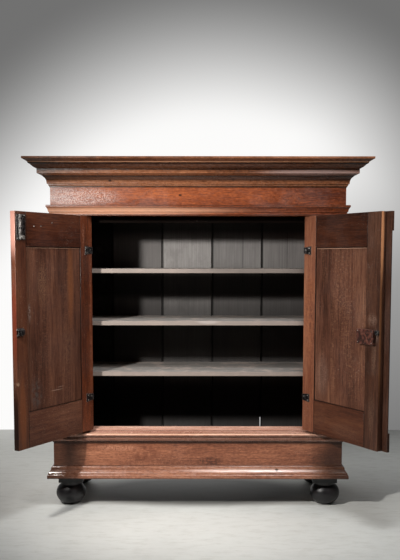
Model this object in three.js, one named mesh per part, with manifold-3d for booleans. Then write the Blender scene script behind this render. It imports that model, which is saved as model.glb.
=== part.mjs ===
// A Dutch kas cupboard in oak: base on ball feet, case with shelves, two framed doors, and a wide cornice.
// Millimetres. +Z is up, the front faces -Y and +X is to the right as seen from the front.
// Heights start at the floor, and depths at the front of the stiles, which is the outside of a closed door.
import * as THREE from "three";
import { mergeVertices } from "three/addons/utils/BufferGeometryUtils.js";
import Module from "manifold-3d";

// Clearances
const fit = 0.3;
const runningClearance = 0.12;
const slidingClearance = 0.7;
const overrun = 5;
const mitreGap = 0.2;

// Plan of the case
const openingHalfWidth = 600;
const stileWidth = 155;
const stileDepth = 50;
const sideThickness = 25;
const caseDepth = 508;
const backThickness = 18;
const frameOverhang = 29;
const frameStep = 57;
const boardThickness = 25;
const ledgeReach = 132;

// Heights of the base
const ballRadius = 81;
const ballHeight = 124;
const ballFlatRadius = 32;
const footNeckRadius = 56;
const footNeckHeight = 4;
const footBlockWidth = 132;
const footBlockHeight = 37;
const cornerBlockHeight = 100;
const footInset = 20;
const ballOffset = 8;
const plinthHeight = 197;
const baseMouldingHeight = 69;
const baseMouldingReach = 33;
const ledgeHeight = 48;
const ledgeProjection = 20;

// Case pieces
const thresholdHeight = 12;
const stopLipHeight = 5;
const stopGap = 1;
const bottomBoardThickness = 22;
const headRailHeight = 35;
const headRailDepth = 22;
const headRailLap = 60;
const shelfThickness = 23;
const shelfSetback = 65;
const shelfHousing = 10;
const shelfTongue = 12;
const lowerShelfRise = 319;
const middleShelfRise = 282;
const upperShelfRise = 288;
const backBoardGap = 6;
const backBoardLap = 14;
const brokenLapBoard = 4;
const brokenLapHeight = 216;
const backFootGap = 5;
const sideFieldDepth = 8;
const sideFieldMargin = 88;
const sideFieldRail = 118;
const pilasterWidth = 72;
const pilasterProjection = 15;
const pilasterFillet = 4;
const pilasterBlockHeight = 92;

// Top
const neckHeight = 54;
const neckProjection = 21.5;
const friezeHeight = 94;
const corniceHeight = 147;
const corniceProjection = 124;
const topBoardThickness = 18;
const topBoardRecess = 8;

// Doors, closed: across from the hinge pin, inwards from it, and up
const openAngle = 120;
const doorHeight = 1155;
const doorFootGap = 3;
const doorHeadGap = 3;
const doorThickness = 28;
const hingeGap = 5;
const meetingGap = 4;
const hingeStileWidth = 98;
const leftMeetingStileWidth = 78;
const rightMeetingStileWidth = 97;
const topRailHeight = 168;
const bottomRailHeight = 179;
const grooveWidth = 8;
const grooveDepth = 11;
const grooveInset = 5;
const tenonLength = 45;
const tenonShoulder = 24;
const fieldInset = 40;
const fieldRise = 7;
const fieldStep = 3;

// Hinges
const pinStandOff = 5;
const pinRadius = 3;
const knuckleRadius = 5.2;
const hingeHeight = 46;
const hingeInset = 182;
const strapThickness = 2;
const strapLength = 60;
const strapNeckHeight = 32;
const pintleDepth = 27;

// Slide bolt on the left door
const boltPlateWidth = 62;
const boltPlateHeight = 122;
const boltPlateDrop = 14;
const plateThickness = 2.5;
const boltInset = 31;
const boltWidth = 11;
const boltDepth = 9;
const boltLength = 114;
const boltSocketDepth = 25;
const guideWall = 3;
const guideHeight = 10;
const upperGuideDrop = 16;
const lowerGuideDrop = 62;
const boltStopHeight = 5;
const knobRadius = 9;
const knobReach = 16;
const knobRise = 6;

// Rim lock on the right door
const lockHeight = 72;
const lockWidth = 116;
const lockDepth = 20;
const lockSetback = 25;
const lockRise = 553;
const lockWall = 2;
const lockBoltHeight = 20;
const lockBoltDepth = 8;
const lockBoltTail = 88;
const keeperLength = 46;
const keeperWall = 2.5;
const keeperEar = 6;
const escutcheonWidth = 32;
const escutcheonHeight = 62;
const keyHoleRadius = 4;
const keySlotWidth = 4;
const keySlotHeight = 16;

// Fineness of round forms
const arcSteps = 6;
const footSides = 28;
const knuckleSides = 24;
const ellipseSteps = 10;

// Outlines of the mouldings, from the bottom up, as shares of projection and of height.
// A row of two is a straight line's end, and a row of four is a curve's control point and end.
const corniceShares = [
  [0.03, 0],
  [0.03, 0.03],
  [0.07, 0.06],
  [0.07, 0.1],
  [0.118, 0.115],
  [0.12, 0.27, 0.21, 0.33],
  [0.24, 0.35],
  [0.285, 0.4],
  [0.44, 0.45],
  [0.47, 0.46],
  [0.47, 0.62],
  [0.6, 0.66, 0.7, 0.75],
  [0.78, 0.79],
  [0.79, 0.825],
  [0.86, 0.87, 0.985, 0.925],
  [1, 0.932],
  [1, 1],
];
const neckShares = [
  [0.25, 0],
  [0.25, 0.17],
  [0.27, 0.33, 0.5, 0.36],
  [0.5, 0.41],
  [0.62, 0.68, 0.92, 0.78],
  [1, 0.82],
  [1, 0.97],
  [0.92, 1],
];
const ledgeShares = [
  [0.2, 0],
  [0.2, 0.1],
  [1.1, 0.2, 0.85, 0.45],
  [0.6, 0.54],
  [0.6, 0.68],
  [1.1, 0.7, 1, 0.88],
  [0.95, 1, 0.7, 1],
];
const baseMouldingShares = [
  [1, 0],
  [1, 0.22],
  [0.97, 0.28, 0.88, 0.31],
  [0.84, 0.35],
  [0.84, 0.4],
  [0.72, 0.52, 0.5, 0.62],
  [0.44, 0.66],
  [0.44, 0.9, 0.2, 0.95],
  [0, 1],
];
// Edges of the back boards as shares of the back's width
const backBoardEdgeShares = [0, 0.156, 0.355, 0.554, 0.752, 1];

// Levels and planes that follow from the sizes above
const blockBottom = ballHeight + footNeckHeight;
const baseBottom = blockBottom + footBlockHeight;
const ledgeBottom = baseBottom + plinthHeight;
const ledgeTop = ledgeBottom + ledgeHeight;
const thresholdTop = ledgeTop + thresholdHeight;
const doorBottom = thresholdTop + doorFootGap;
const doorTop = doorBottom + doorHeight;
const neckBottom = doorTop + doorHeadGap;
const neckTop = neckBottom + neckHeight;
const friezeTop = neckTop + friezeHeight;
const corniceTop = friezeTop + corniceHeight;
const topBoardTop = corniceTop - topBoardRecess;
const bodyHalfWidth = openingHalfWidth + stileWidth;
const frameHalfWidth = bodyHalfWidth + frameOverhang;
const sideInner = bodyHalfWidth - sideThickness;
const frontPlane = -frameStep;
const lowerShelfTop = ledgeTop + lowerShelfRise;
const middleShelfTop = lowerShelfTop + middleShelfRise;
const upperShelfTop = middleShelfTop + upperShelfRise;

// The door's own frame has its zero on the hinge pin
const pinX = openingHalfWidth - hingeGap / 2;
const pinY = -pinStandOff;
const doorWidth = openingHalfWidth - hingeGap - meetingGap / 2;
const hingeEdge = hingeGap / 2;
const meetingEdge = hingeEdge + doorWidth;
const outerFace = pinStandOff;
const innerFace = outerFace + doorThickness;
const grooveInner = innerFace - grooveInset;
const grooveOuter = grooveInner - grooveWidth;
const upperHingeLevel = doorTop - hingeInset;
const lowerHingeLevel = doorBottom + hingeInset;
const lockBottom = doorBottom + lockRise - lockHeight / 2;
const lockBoltLevel = lockBottom + lockHeight - lockWall - slidingClearance - lockBoltHeight / 2;
const keyLevel = lockBottom + lockHeight / 3;

const oak = new THREE.MeshStandardMaterial({ color: 0x7a3d22, roughness: 0.4, metalness: 0 });
const doorOak = new THREE.MeshStandardMaterial({ color: 0x5e2f1c, roughness: 0.5, metalness: 0 });
const greyedOak = new THREE.MeshStandardMaterial({ color: 0x8d857c, roughness: 0.8, metalness: 0 });
const backOak = new THREE.MeshStandardMaterial({ color: 0x3d3833, roughness: 0.9, metalness: 0 });
const ebonised = new THREE.MeshStandardMaterial({ color: 0x17161a, roughness: 0.35, metalness: 0 });
const iron = new THREE.MeshStandardMaterial({ color: 0x2b2a2b, roughness: 0.5, metalness: 0.8 });
const rustedIron = new THREE.MeshStandardMaterial({ color: 0x5a3020, roughness: 0.7, metalness: 0.5 });

const wasm = await Module();
wasm.setup();

const kas = new THREE.Group();
const carcass = new THREE.Group();
const leftDoor = new THREE.Group();
const rightDoor = new THREE.Group();

function toSolid(geometry) {
  const bare = geometry.clone();
  bare.deleteAttribute("normal");
  bare.deleteAttribute("uv");
  const merged = mergeVertices(bare);
  return new wasm.Manifold(
    new wasm.Mesh({
      numProp: 3,
      vertProperties: new Float32Array(merged.attributes.position.array),
      triVerts: new Uint32Array(merged.index.array),
    }),
  );
}

function toGeometry(solid) {
  const mesh = solid.getMesh();
  const geometry = new THREE.BufferGeometry();
  geometry.setAttribute("position", new THREE.BufferAttribute(mesh.vertProperties, 3));
  geometry.setIndex(new THREE.BufferAttribute(mesh.triVerts, 1));
  const flat = geometry.toNonIndexed();
  flat.computeVertexNormals();
  return flat;
}

function join(...geometries) {
  return toGeometry(geometries.map(toSolid).reduce((whole, piece) => whole.add(piece)));
}

function cut(body, ...cutters) {
  return toGeometry(cutters.map(toSolid).reduce((rest, cutter) => rest.subtract(cutter), toSolid(body)));
}

// The corners are set to the given numbers themselves, so that blocks that share a plane meet in it exactly
function block([x0, x1], [y0, y1], [z0, z1]) {
  const box = new THREE.BoxGeometry(1, 1, 1);
  const places = box.attributes.position;
  for (let i = 0; i < places.count; i += 1) {
    const x = places.getX(i) < 0 ? x0 : x1;
    const y = places.getY(i) < 0 ? y0 : y1;
    const z = places.getZ(i) < 0 ? z0 : z1;
    places.setXYZ(i, x, y, z);
  }
  return box;
}

function upright(radius, z0, z1, sides) {
  const cylinder = new THREE.CylinderGeometry(radius, radius, z1 - z0, sides);
  return cylinder.rotateX(Math.PI / 2).translate(0, 0, (z0 + z1) / 2);
}

function inward(radius, y0, y1, sides) {
  const cylinder = new THREE.CylinderGeometry(radius, radius, y1 - y0, sides);
  return cylinder.translate(0, (y0 + y1) / 2, 0);
}

function turned(points) {
  return new THREE.LatheGeometry(points, footSides).rotateX(Math.PI / 2);
}

// A plan outline raised from z0 to z1
function raised(shape, z0, z1) {
  const geometry = new THREE.ExtrudeGeometry(shape, {
    depth: z1 - z0,
    bevelEnabled: false,
    curveSegments: ellipseSteps,
  });
  return geometry.translate(0, 0, z0);
}

function outline(points) {
  return new THREE.Shape(points.map(([x, y]) => new THREE.Vector2(x, y)));
}

// Turns a geometry over to the other side of the middle plane and keeps its faces pointing out
function mirrored(geometry) {
  const other = (geometry.index ? geometry.toNonIndexed() : geometry.clone()).scale(-1, 1, 1);
  const places = other.attributes.position;
  const first = new THREE.Vector3();
  const last = new THREE.Vector3();
  for (let i = 0; i < places.count; i += 3) {
    first.fromBufferAttribute(places, i);
    last.fromBufferAttribute(places, i + 2);
    places.setXYZ(i, last.x, last.y, last.z);
    places.setXYZ(i + 2, first.x, first.y, first.z);
  }
  other.computeVertexNormals();
  return other;
}

function addPart(group, name, geometry, material) {
  const mesh = new THREE.Mesh(geometry, material.clone());
  mesh.name = name;
  group.add(mesh);
}

// A piece that exists on the left and, mirrored, on the right
function addPair(name, geometry, material) {
  addPart(carcass, `${name}_left`, geometry, material);
  addPart(carcass, `${name}_right`, mirrored(geometry), material);
}

// Mouldings: a section in projection and height, run along the front or a side with a mitred front corner

function traceShares(shape, shares, projection, bottom, height) {
  for (const row of shares) {
    const places = row.map((share, i) => (i % 2 ? bottom + share * height : share * projection));
    if (places.length === 2) shape.lineTo(...places);
    else shape.quadraticCurveTo(...places);
  }
}

function mouldingSection(shares, projection, bottom, height, inner) {
  const shape = new THREE.Shape().moveTo(inner, bottom);
  traceShares(shape, shares, projection, bottom, height);
  if (shares.at(-1).at(-2) * projection !== inner) shape.lineTo(inner, bottom + height);
  return shape;
}

function mitredRun(section, startAt, endAt, alongOutward, alongRun, origin) {
  const run = new THREE.ExtrudeGeometry(section, { depth: 1, bevelEnabled: false, curveSegments: arcSteps });
  const places = run.attributes.position;
  for (let i = 0; i < places.count; i += 1) {
    const projection = places.getX(i);
    places.setZ(i, places.getZ(i) === 0 ? startAt(projection) : endAt(projection));
  }
  const up = new THREE.Vector3(0, 0, 1);
  const frame = new THREE.Matrix4().makeBasis(alongOutward, up, alongRun).setPosition(origin);
  return run.applyMatrix4(frame);
}

function frontRun(section) {
  const reach = (projection) => frameHalfWidth + projection - mitreGap;
  return mitredRun(
    section,
    (projection) => -reach(projection),
    reach,
    new THREE.Vector3(0, -1, 0),
    new THREE.Vector3(-1, 0, 0),
    new THREE.Vector3(0, frontPlane, 0),
  );
}

function leftRun(section) {
  return mitredRun(
    section,
    (projection) => frontPlane - projection + mitreGap,
    () => caseDepth,
    new THREE.Vector3(-1, 0, 0),
    new THREE.Vector3(0, 1, 0),
    new THREE.Vector3(-frameHalfWidth, 0, 0),
  );
}

function addRuns(name, section, frontCuts = []) {
  const front = frontRun(section);
  addPart(carcass, `${name}_front`, frontCuts.length ? cut(front, ...frontCuts) : front, oak);
  addPair(name, leftRun(section), oak);
}

// Feet: ball, neck and block, with a smaller corner block that goes up inside the plinth

function footProfile() {
  const middle = ballHeight / 2;
  const rise = Math.asin(Math.min(1, footNeckRadius / ballRadius));
  const tallness = middle / Math.cos(Math.asin(ballFlatRadius / ballRadius));
  const arc = new THREE.EllipseCurve(
    0,
    middle,
    ballRadius,
    tallness,
    Math.asin(ballFlatRadius / ballRadius) - Math.PI / 2,
    Math.PI / 2 - rise,
  );
  const top = new THREE.Vector2(footNeckRadius, blockBottom + overrun);
  return [new THREE.Vector2(0, 0), ...arc.getPoints(ellipseSteps), top, new THREE.Vector2(0, top.y)];
}

function foot(centreY, cornerY) {
  const centreX = footInset + footBlockWidth / 2 - frameHalfWidth;
  const half = footBlockWidth / 2;
  const turning = turned(footProfile()).translate(centreX - ballOffset, centreY, 0);
  const square = block(
    [centreX - half, centreX + half],
    [centreY - half, centreY + half],
    [blockBottom, baseBottom],
  );
  const corner = block(
    [fit + boardThickness - frameHalfWidth, centreX + half],
    cornerY,
    [baseBottom - overrun, baseBottom + cornerBlockHeight],
  );
  return join(turning, square, corner);
}

function addFeet() {
  const half = footBlockWidth / 2;
  const frontY = frontPlane + footInset + half;
  const rearY = caseDepth - half;
  const frontCorner = [frontPlane + boardThickness + fit, frontY + half];
  const rearCorner = [rearY - half, caseDepth - fit];
  addPair("foot_front", foot(frontY, frontCorner), ebonised);
  addPair("foot_rear", foot(rearY, rearCorner), ebonised);
}

// Base: plinth boards, the moulding round their foot, and the ledge on top of them

function addBase() {
  const board = outline([
    [-boardThickness, baseBottom],
    [0, baseBottom],
    [0, ledgeBottom],
    [-boardThickness, ledgeBottom],
  ]);
  addRuns("plinth", board);
  const moulding = mouldingSection(baseMouldingShares, baseMouldingReach, baseBottom, baseMouldingHeight, 0);
  addRuns("base_moulding", moulding);
  const ledge = mouldingSection(ledgeShares, ledgeProjection, ledgeBottom, ledgeHeight, -ledgeReach);
  addRuns("waist_moulding", ledge);
}

// Top: frieze boards with the neck moulding below them, and the cornice

function friezeSection() {
  const shape = new THREE.Shape().moveTo(-ledgeReach, neckBottom);
  traceShares(shape, neckShares, neckProjection, neckBottom, neckHeight);
  shape.lineTo(0, neckTop);
  shape.lineTo(0, friezeTop);
  shape.lineTo(-boardThickness, friezeTop);
  shape.lineTo(-boardThickness, neckTop);
  shape.lineTo(-ledgeReach, neckTop);
  return shape;
}

function boltSocket() {
  const centreX = boltCentre() - pinX;
  const centreY = pinY + boltBack() + boltDepth / 2;
  const halfWidth = boltWidth / 2 + slidingClearance;
  const halfDepth = boltDepth / 2 + slidingClearance;
  return block(
    [centreX - halfWidth, centreX + halfWidth],
    [centreY - halfDepth, centreY + halfDepth],
    [neckBottom - overrun, neckBottom + boltSocketDepth],
  );
}

function addTop() {
  addRuns("frieze", friezeSection(), [boltSocket()]);
  const inner = -boardThickness;
  const section = mouldingSection(corniceShares, corniceProjection, friezeTop, corniceHeight, inner);
  addRuns("cornice", section);
  const boardHalf = frameHalfWidth - boardThickness - fit;
  const board = block(
    [-boardHalf, boardHalf],
    [frontPlane + boardThickness + fit, caseDepth],
    [topBoardTop - topBoardThickness, topBoardTop],
  );
  addPart(carcass, "top_board", board, backOak);
}

// A half-round pilaster between two square blocks, its back on y = 0 and its middle on x = 0

function pilaster(z0, z1) {
  const half = pilasterWidth / 2;
  const shaft = new THREE.Shape().moveTo(-half, 0);
  shaft.lineTo(-half, -pilasterFillet);
  shaft.absellipse(0, -pilasterFillet, half, pilasterProjection - pilasterFillet, -Math.PI, 0, false);
  shaft.lineTo(half, 0);
  const feet = block([-half, half], [-pilasterProjection, 0], [z0, z0 + pilasterBlockHeight]);
  const head = block([-half, half], [-pilasterProjection, 0], [z1 - pilasterBlockHeight, z1]);
  return join(raised(shaft, z0, z1), feet, head);
}

// Case

function addStiles() {
  const post = block([-bodyHalfWidth, -openingHalfWidth], [0, stileDepth], [ledgeTop, neckBottom]);
  const centre = -openingHalfWidth - stileWidth / 2;
  const front = pilaster(ledgeTop, neckBottom).translate(centre, 0, 0);
  const backing = block(
    [centre - pilasterWidth / 2, centre + pilasterWidth / 2],
    [-pilasterFillet / 2, stileDepth / 2],
    [ledgeTop, neckBottom],
  );
  addPair("stile", join(post, front, backing), oak);
}

function shelfHousingAt(top) {
  return block(
    [-sideInner - shelfHousing, overrun - sideInner],
    [shelfSetback - fit, caseDepth + overrun],
    [top - shelfThickness - fit, top - shelfThickness + shelfTongue + fit],
  );
}

function sideField(z0, z1) {
  return block(
    [-bodyHalfWidth - overrun, sideFieldDepth - bodyHalfWidth],
    [stileDepth + sideFieldMargin / 2, caseDepth - sideFieldMargin],
    [z0, z1],
  );
}

function addSides() {
  const board = block([-bodyHalfWidth, -sideInner], [stileDepth, caseDepth], [ledgeTop, neckBottom]);
  const middle = (ledgeTop + neckBottom) / 2;
  const cutters = [
    ...[lowerShelfTop, middleShelfTop, upperShelfTop].map(shelfHousingAt),
    sideField(ledgeTop + sideFieldRail, middle - sideFieldRail / 2),
    sideField(middle + sideFieldRail / 2, neckBottom - sideFieldRail),
  ];
  addPair("side", cut(board, ...cutters), oak);
}

// A shelf's ends are thinner than the shelf: a tongue along the lower side sits in the housing
function addShelves() {
  const half = sideInner - fit;
  const reach = half + shelfHousing;
  const depth = [shelfSetback, caseDepth - fit];
  const tops = { lower: lowerShelfTop, middle: middleShelfTop, upper: upperShelfTop };
  for (const [name, top] of Object.entries(tops)) {
    const bottom = top - shelfThickness;
    const board = block([-half, half], depth, [bottom, top]);
    const tongues = block([-reach, reach], depth, [bottom, bottom + shelfTongue]);
    addPart(carcass, `shelf_${name}`, join(board, tongues), greyedOak);
  }
}

// The bottom board lies inside the plinth on the feet's corner blocks, lower than the threshold
function addBottomAndHead() {
  const lipFront = doorThickness + stopGap;
  const threshold = outline([
    [0, ledgeTop],
    [stileDepth, ledgeTop],
    [stileDepth, thresholdTop + stopLipHeight],
    [lipFront, thresholdTop + stopLipHeight],
    [lipFront, thresholdTop],
    [0, thresholdTop],
  ]);
  const length = 2 * (openingHalfWidth - fit);
  const strip = new THREE.ExtrudeGeometry(threshold, { depth: length, bevelEnabled: false });
  const alongX = new THREE.Matrix4().makeBasis(
    new THREE.Vector3(0, 1, 0),
    new THREE.Vector3(0, 0, 1),
    new THREE.Vector3(1, 0, 0),
  );
  addPart(carcass, "threshold", strip.translate(0, 0, -length / 2).applyMatrix4(alongX), oak);
  const half = frameHalfWidth - boardThickness - fit;
  const bottom = baseBottom + cornerBlockHeight;
  const board = block(
    [-half, half],
    [frontPlane + boardThickness + fit, caseDepth - fit],
    [bottom, bottom + bottomBoardThickness],
  );
  addPart(carcass, "bottom_board", board, greyedOak);
  const railHalf = openingHalfWidth + headRailLap;
  const rail = block(
    [-railHalf, railHalf],
    [stileDepth, stileDepth + headRailDepth],
    [neckBottom - headRailHeight, neckBottom],
  );
  addPart(carcass, "head_rail", rail, oak);
}

// The rear half of each board's right edge laps behind the next board. One lap is broken off at its foot
function addBackBoards() {
  const width = 2 * bodyHalfWidth;
  const lapPlane = caseDepth + backThickness / 2;
  const up = [baseBottom + backFootGap, topBoardTop];
  for (let i = 1; i < backBoardEdgeShares.length; i += 1) {
    const [start, end] = [backBoardEdgeShares[i - 1], backBoardEdgeShares[i]];
    const left = start * width - bodyHalfWidth + (start > 0 ? backBoardGap / 2 : 0);
    const right = end * width - bodyHalfWidth - (end < 1 ? backBoardGap / 2 : 0);
    const front = block([left, right], [caseDepth, lapPlane], up);
    const rearLeft = left + (start > 0 ? backBoardLap : 0);
    const rearRight = right + (end < 1 ? backBoardLap : 0);
    const rear = block([rearLeft, rearRight], [lapPlane, caseDepth + backThickness], up);
    const whole = join(front, rear);
    const lost = block(
      [right, rearRight + overrun],
      [lapPlane - overrun, caseDepth + backThickness + overrun],
      [up[0] - overrun, up[0] + brokenLapHeight],
    );
    addPart(carcass, `back_board_${i}`, i === brokenLapBoard ? cut(whole, lost) : whole, backOak);
  }
}

// Doors. Each piece is drawn for the left door: x runs from the pin to the meeting edge, y inwards

function panelSpan(meetingStileWidth) {
  return {
    across: [hingeEdge + hingeStileWidth, meetingEdge - meetingStileWidth],
    up: [doorBottom + bottomRailHeight, doorTop - topRailHeight],
  };
}

function mortise(across, [z0, z1]) {
  return block(across, [grooveOuter, grooveInner], [z0 + tenonShoulder - fit, z1 - tenonShoulder + fit]);
}

// inner is the edge that faces the panel, and outer the edge away from it
function doorStile(outer, inner, ...openings) {
  const towards = Math.sign(outer - inner);
  const span = [Math.min(outer, inner), Math.max(outer, inner)];
  const body = block(span, [outerFace, innerFace], [doorBottom, doorTop]);
  const reach = (depth) => [inner + towards * depth, inner - towards * overrun].sort((a, b) => a - b);
  const groove = block(reach(grooveDepth), [grooveOuter, grooveInner], [
    doorBottom + bottomRailHeight - grooveDepth,
    doorTop - topRailHeight + grooveDepth,
  ]);
  const deep = reach(tenonLength + fit);
  const mortises = [
    mortise(deep, [doorBottom, doorBottom + bottomRailHeight]),
    mortise(deep, [doorTop - topRailHeight, doorTop]),
  ];
  return cut(body, groove, ...mortises, ...openings);
}

function doorRail([x0, x1], [z0, z1], grooveEdge) {
  const body = block([x0 + fit, x1 - fit], [outerFace, innerFace], [z0, z1]);
  const tenon = block([x0 - tenonLength, x1 + tenonLength], [grooveOuter + fit, grooveInner - fit], [
    z0 + tenonShoulder,
    z1 - tenonShoulder,
  ]);
  const groove = block([x0 - overrun, x1 + overrun], [grooveOuter, grooveInner], [
    grooveEdge - grooveDepth,
    grooveEdge + grooveDepth,
  ]);
  return cut(join(body, tenon), groove);
}

// A panel with its tongue in the frame's grooves, flat inside, and a bevelled and raised field outside
function doorPanel({ across: [x0, x1], up: [z0, z1] }) {
  const reach = grooveDepth - fit;
  const back = grooveInner - fit;
  const tongue = block([x0 - reach, x1 + reach], [grooveOuter + fit, back], [z0 - reach, z1 + reach]);
  const bevelTop = grooveOuter - fieldRise;
  const bevel = block([x0 + fit, x1 - fit], [bevelTop, back], [z0 + fit, z1 - fit]);
  const places = bevel.attributes.position;
  const middleX = (x0 + x1) / 2;
  const middleZ = (z0 + z1) / 2;
  for (let i = 0; i < places.count; i += 1) {
    if (places.getY(i) > grooveOuter) {
      places.setY(i, grooveOuter + fit + overrun / 2);
    } else {
      places.setX(i, places.getX(i) - Math.sign(places.getX(i) - middleX) * fieldInset);
      places.setZ(i, places.getZ(i) - Math.sign(places.getZ(i) - middleZ) * fieldInset);
    }
  }
  const field = block(
    [x0 + fieldInset + fieldStep, x1 - fieldInset - fieldStep],
    [bevelTop - fieldStep, grooveOuter + overrun / 2],
    [z0 + fieldInset + fieldStep, z1 - fieldInset - fieldStep],
  );
  return join(tongue, bevel, field);
}

function keyHole(y0, y1) {
  const centreX = keyCentre();
  const round = inward(keyHoleRadius, y0, y1, knuckleSides).translate(centreX, 0, keyLevel);
  const across = [centreX - keySlotWidth / 2, centreX + keySlotWidth / 2];
  const slot = block(across, [y0, y1], [keyLevel - keySlotHeight, keyLevel]);
  return join(round, slot);
}

function addDoorFrame(group, side, meetingStileWidth, meetingCuts) {
  const turn = side === "left" ? (geometry) => geometry : mirrored;
  const { across, up } = panelSpan(meetingStileWidth);
  const add = (name, geometry) => addPart(group, `${side}_door_${name}`, turn(geometry), doorOak);
  add("hinge_stile", doorStile(hingeEdge, across[0]));
  add("meeting_stile", doorStile(meetingEdge, across[1], ...meetingCuts));
  add("top_rail", doorRail(across, [up[1], doorTop], up[1]));
  add("bottom_rail", doorRail(across, [doorBottom, up[0]], up[0]));
  add("panel", doorPanel({ across, up }));
}

// Hinges: the strap is nailed to the door's inner face and turns round its edge to the knuckle

function hingeStrap(level) {
  const bore = (pinRadius + runningClearance) / Math.cos(Math.PI / knuckleSides);
  const bottom = level + fit / 2;
  const top = level + hingeHeight / 2;
  const neckTopLevel = level + strapNeckHeight / 2;
  const web = [hingeEdge - fit - strapThickness, hingeEdge - fit];
  const leafBack = innerFace + fit;
  const ring = upright(knuckleRadius, bottom, top, knuckleSides);
  const edgePlate = block(web, [pinRadius + fit, leafBack + strapThickness], [bottom, neckTopLevel]);
  const leaf = outline([
    [web[0], -strapNeckHeight / 2],
    [hingeEdge + strapLength, -hingeHeight / 2],
    [hingeEdge + strapLength, hingeHeight / 2],
    [web[0], strapNeckHeight / 2],
  ]);
  const standing = new THREE.ExtrudeGeometry(leaf, { depth: strapThickness, bevelEnabled: false });
  standing.rotateX(Math.PI / 2).translate(0, leafBack + strapThickness, level);
  return cut(join(ring, edgePlate, standing), upright(bore, bottom - overrun, top + overrun, knuckleSides));
}

function hingePintle(level) {
  const bottom = level - hingeHeight / 2;
  const top = level + hingeHeight / 2;
  const seat = level - fit / 2;
  const plate = [-hingeEdge, strapThickness - hingeEdge];
  const knuckle = upright(knuckleRadius, bottom, seat, knuckleSides);
  const pin = upright(pinRadius, bottom, top - fit, knuckleSides);
  const lowerWeb = block(plate, [0, pintleDepth / 2], [bottom, seat]);
  const leaf = block(plate, [knuckleRadius + 2 * fit, pintleDepth + knuckleRadius], [bottom, top]);
  return join(knuckle, pin, lowerWeb, leaf);
}

function addHinges() {
  const levels = { upper: upperHingeLevel, lower: lowerHingeLevel };
  for (const [name, level] of Object.entries(levels)) {
    const strap = hingeStrap(level);
    addPart(leftDoor, `hinge_strap_${name}_left`, strap, iron);
    addPart(rightDoor, `hinge_strap_${name}_right`, mirrored(strap), iron);
    addPair(`hinge_pintle_${name}`, hingePintle(level).translate(-pinX, pinY, 0), iron);
  }
}

// Slide bolt: it shoots up into a socket in the neck moulding's underside

function boltCentre() {
  return meetingEdge - boltInset;
}

function boltBack() {
  return innerFace + fit + plateThickness + fit;
}

function boltGuide(level) {
  const half = boltWidth / 2 + fit + guideWall;
  return block(
    [boltCentre() - half, boltCentre() + half],
    [innerFace + fit, boltBack() + boltDepth + fit + guideWall],
    [level - guideHeight, level],
  );
}

function boltPlate() {
  const top = doorTop - boltPlateDrop;
  const plateCentre = meetingEdge - leftMeetingStileWidth / 2;
  const plateHalf = boltPlateWidth / 2;
  const back = innerFace + fit;
  const bottom = top - boltPlateHeight;
  const plate = block(
    [plateCentre - plateHalf, plateCentre + plateHalf],
    [back, back + plateThickness],
    [bottom, top],
  );
  const stop = block(
    [boltCentre() - boltWidth / 2, boltCentre() + boltWidth / 2],
    [back, boltBack() + boltDepth],
    [bottom, bottom + boltStopHeight],
  );
  const passage = block(
    [boltCentre() - boltWidth / 2 - fit, boltCentre() + boltWidth / 2 + fit],
    [back + plateThickness, boltBack() + boltDepth + fit],
    [bottom + boltStopHeight, top + overrun],
  );
  const guides = cut(join(boltGuide(top - upperGuideDrop), plate, boltGuide(top - lowerGuideDrop)), passage);
  return join(guides, stop);
}

function slideBolt() {
  const bottom = doorTop - boltPlateDrop - boltPlateHeight + boltStopHeight + fit;
  const front = boltBack() + boltDepth;
  const across = [boltCentre() - boltWidth / 2, boltCentre() + boltWidth / 2];
  const bar = block(across, [boltBack(), front], [bottom, bottom + boltLength]);
  const knobLevel = bottom + knobRise;
  const stem = inward(knobRadius / 2, front - overrun / 2, front + knobReach, knuckleSides);
  const knob = inward(knobRadius, front + knobReach / 2, front + knobReach, knuckleSides);
  return join(bar, stem.translate(boltCentre(), 0, knobLevel), knob.translate(boltCentre(), 0, knobLevel));
}

// Rim lock: a case open towards the door, its bolt along the upper edge, and the keeper on the other door

function lockEnd() {
  return meetingEdge - lockSetback;
}

function keyCentre() {
  return lockEnd() - lockWidth / 2;
}

function lockBoltBack() {
  return innerFace + 2 * fit;
}

function lockCase() {
  const across = [lockEnd() - lockWidth, lockEnd()];
  const back = innerFace + fit;
  const shell = block(across, [back, back + lockDepth], [lockBottom, lockBottom + lockHeight]);
  const hollow = block(
    [across[0] + lockWall, across[1] - lockWall],
    [back - overrun, back + lockDepth - lockWall],
    [lockBottom + lockWall, lockBottom + lockHeight - lockWall],
  );
  const slot = block(
    [across[1] - overrun, across[1] + overrun],
    [back - overrun, lockBoltBack() + lockBoltDepth + fit],
    [lockBoltLevel - lockBoltHeight / 2 - fit, lockBoltLevel + lockBoltHeight / 2 + fit],
  );
  return cut(shell, hollow, slot);
}

function lockBolt() {
  const tip = meetingEdge - fit;
  return block(
    [lockEnd() - lockBoltTail, tip],
    [lockBoltBack(), lockBoltBack() + lockBoltDepth],
    [lockBoltLevel - lockBoltHeight / 2, lockBoltLevel + lockBoltHeight / 2],
  );
}

function lockKeeper() {
  const across = [meetingEdge - fit - keeperLength, meetingEdge - fit];
  const back = innerFace + fit;
  const half = lockBoltHeight / 2 + slidingClearance;
  const roof = lockBoltBack() + lockBoltDepth + slidingClearance;
  const ears = block(across, [back, back + keeperWall], [
    lockBoltLevel - half - keeperWall - keeperEar,
    lockBoltLevel + half + keeperWall + keeperEar,
  ]);
  const hood = block(across, [back, roof + keeperWall], [
    lockBoltLevel - half - keeperWall,
    lockBoltLevel + half + keeperWall,
  ]);
  const passage = block(
    [across[0] - overrun, across[1] + overrun],
    [back - overrun, roof],
    [lockBoltLevel - half, lockBoltLevel + half],
  );
  return cut(join(ears, hood), passage);
}

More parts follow.
